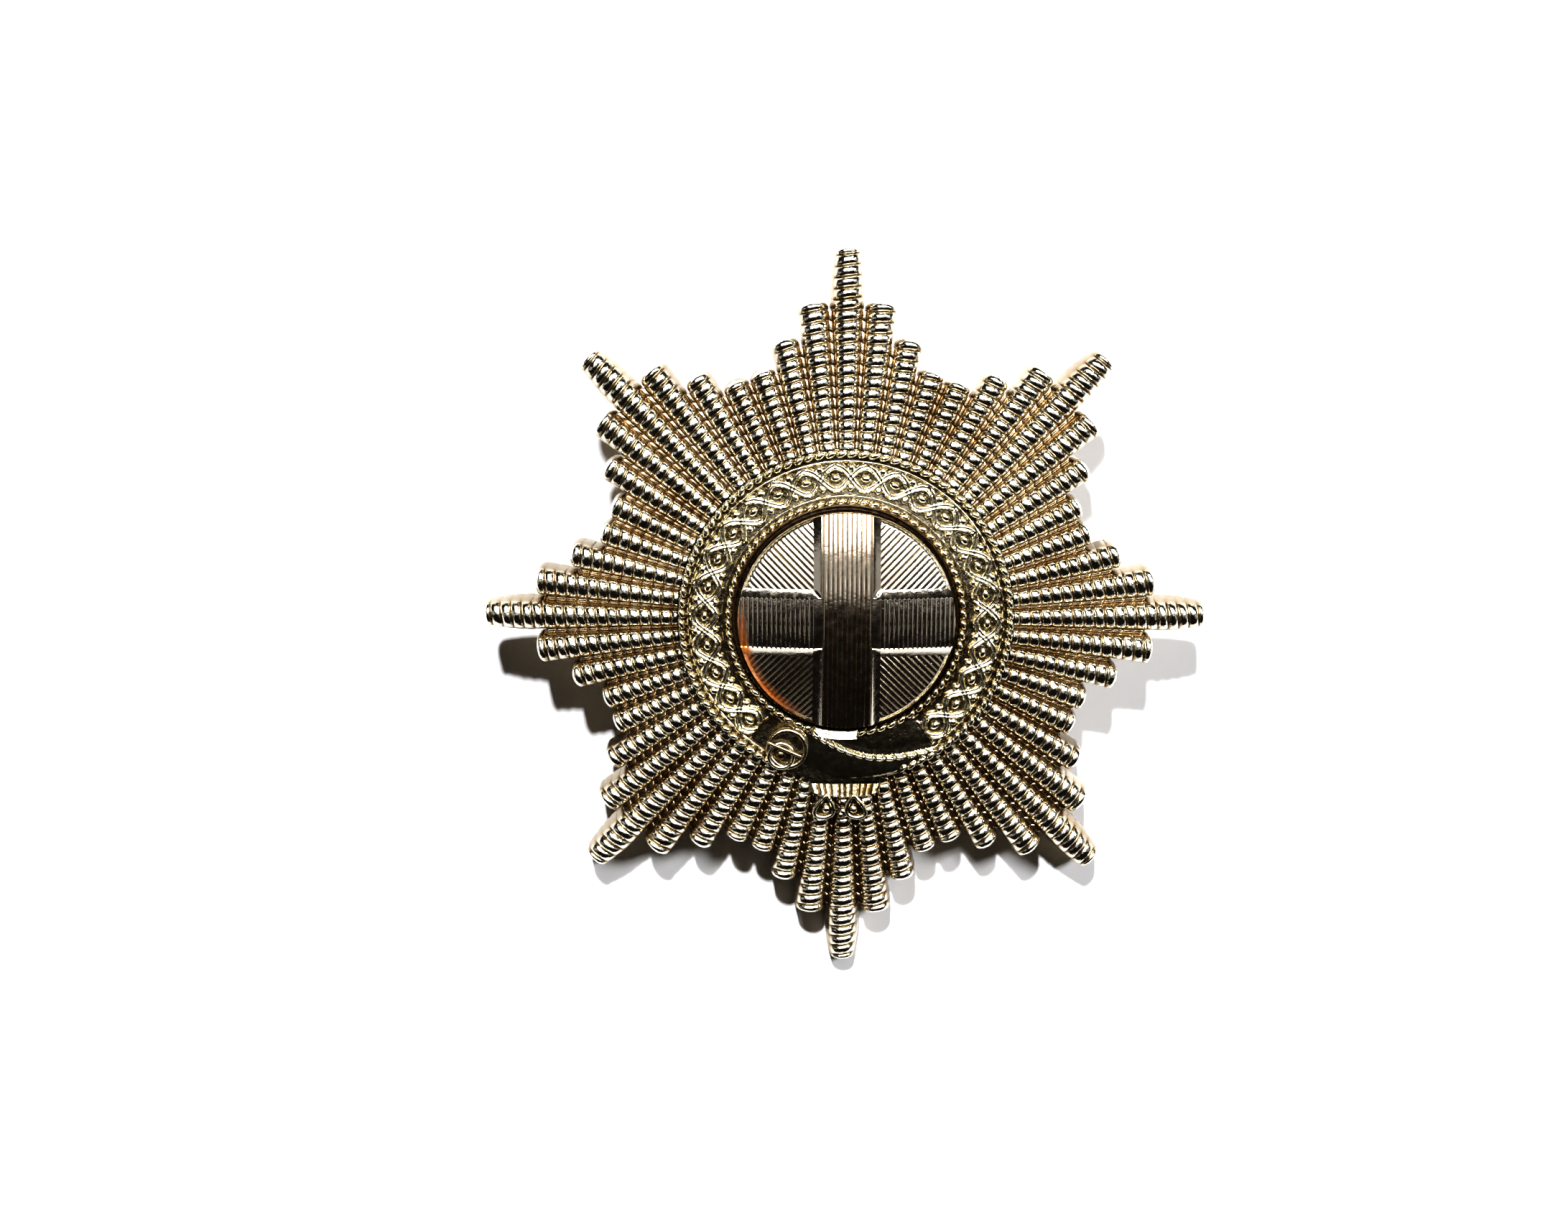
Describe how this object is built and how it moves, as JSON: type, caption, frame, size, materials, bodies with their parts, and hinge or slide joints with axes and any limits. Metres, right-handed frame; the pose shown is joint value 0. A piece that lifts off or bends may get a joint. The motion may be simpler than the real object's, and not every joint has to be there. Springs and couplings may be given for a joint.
{
  "type": "cap badge",
  "caption": "Eight-pointed rayed star badge with a buckled belt round a domed centre and cross, and two wire lugs with a sliding split pin behind.",
  "frame": {"origin": "centre of the flat seat in the recess on the badge's back, where the lugs stand", "axes": "+Z out of the face, +Y to the top star point, +X to the viewer's right; the split pin slides along X"},
  "size_m": [0.044, 0.044, 0.0084],
  "materials": {
    "star_metal": "bright gilt plate over struck beading, darker in the valleys",
    "belt_metal": "bright gilt plate, warm tone in the recesses",
    "centre_metal": "mirror-polished gilt plate with fine engraved ruling",
    "back_metal": "satin gilt wash, unpolished",
    "pin_metal": "drawn half-round brass wire"
  },
  "bodies": {
    "badge": {"star_plate": "star_metal", "belt_ring": "belt_metal", "belt_rivets": "back_metal", "belt_buckle": "belt_metal", "buckle_tongue": "belt_metal", "belt_tail": "belt_metal", "centre_disc": "centre_metal", "centre_cross": "centre_metal", "backing_plate": "back_metal", "lug_west": "back_metal", "lug_east": "back_metal"},
    "pin": {"split_pin": "pin_metal"}
  },
  "joints": [
    {"name": "pin_slide", "type": "slide", "parent": "badge", "child": "pin", "axis": [1, 0, 0], "range_m": [0, 0.0255]}
  ]
}
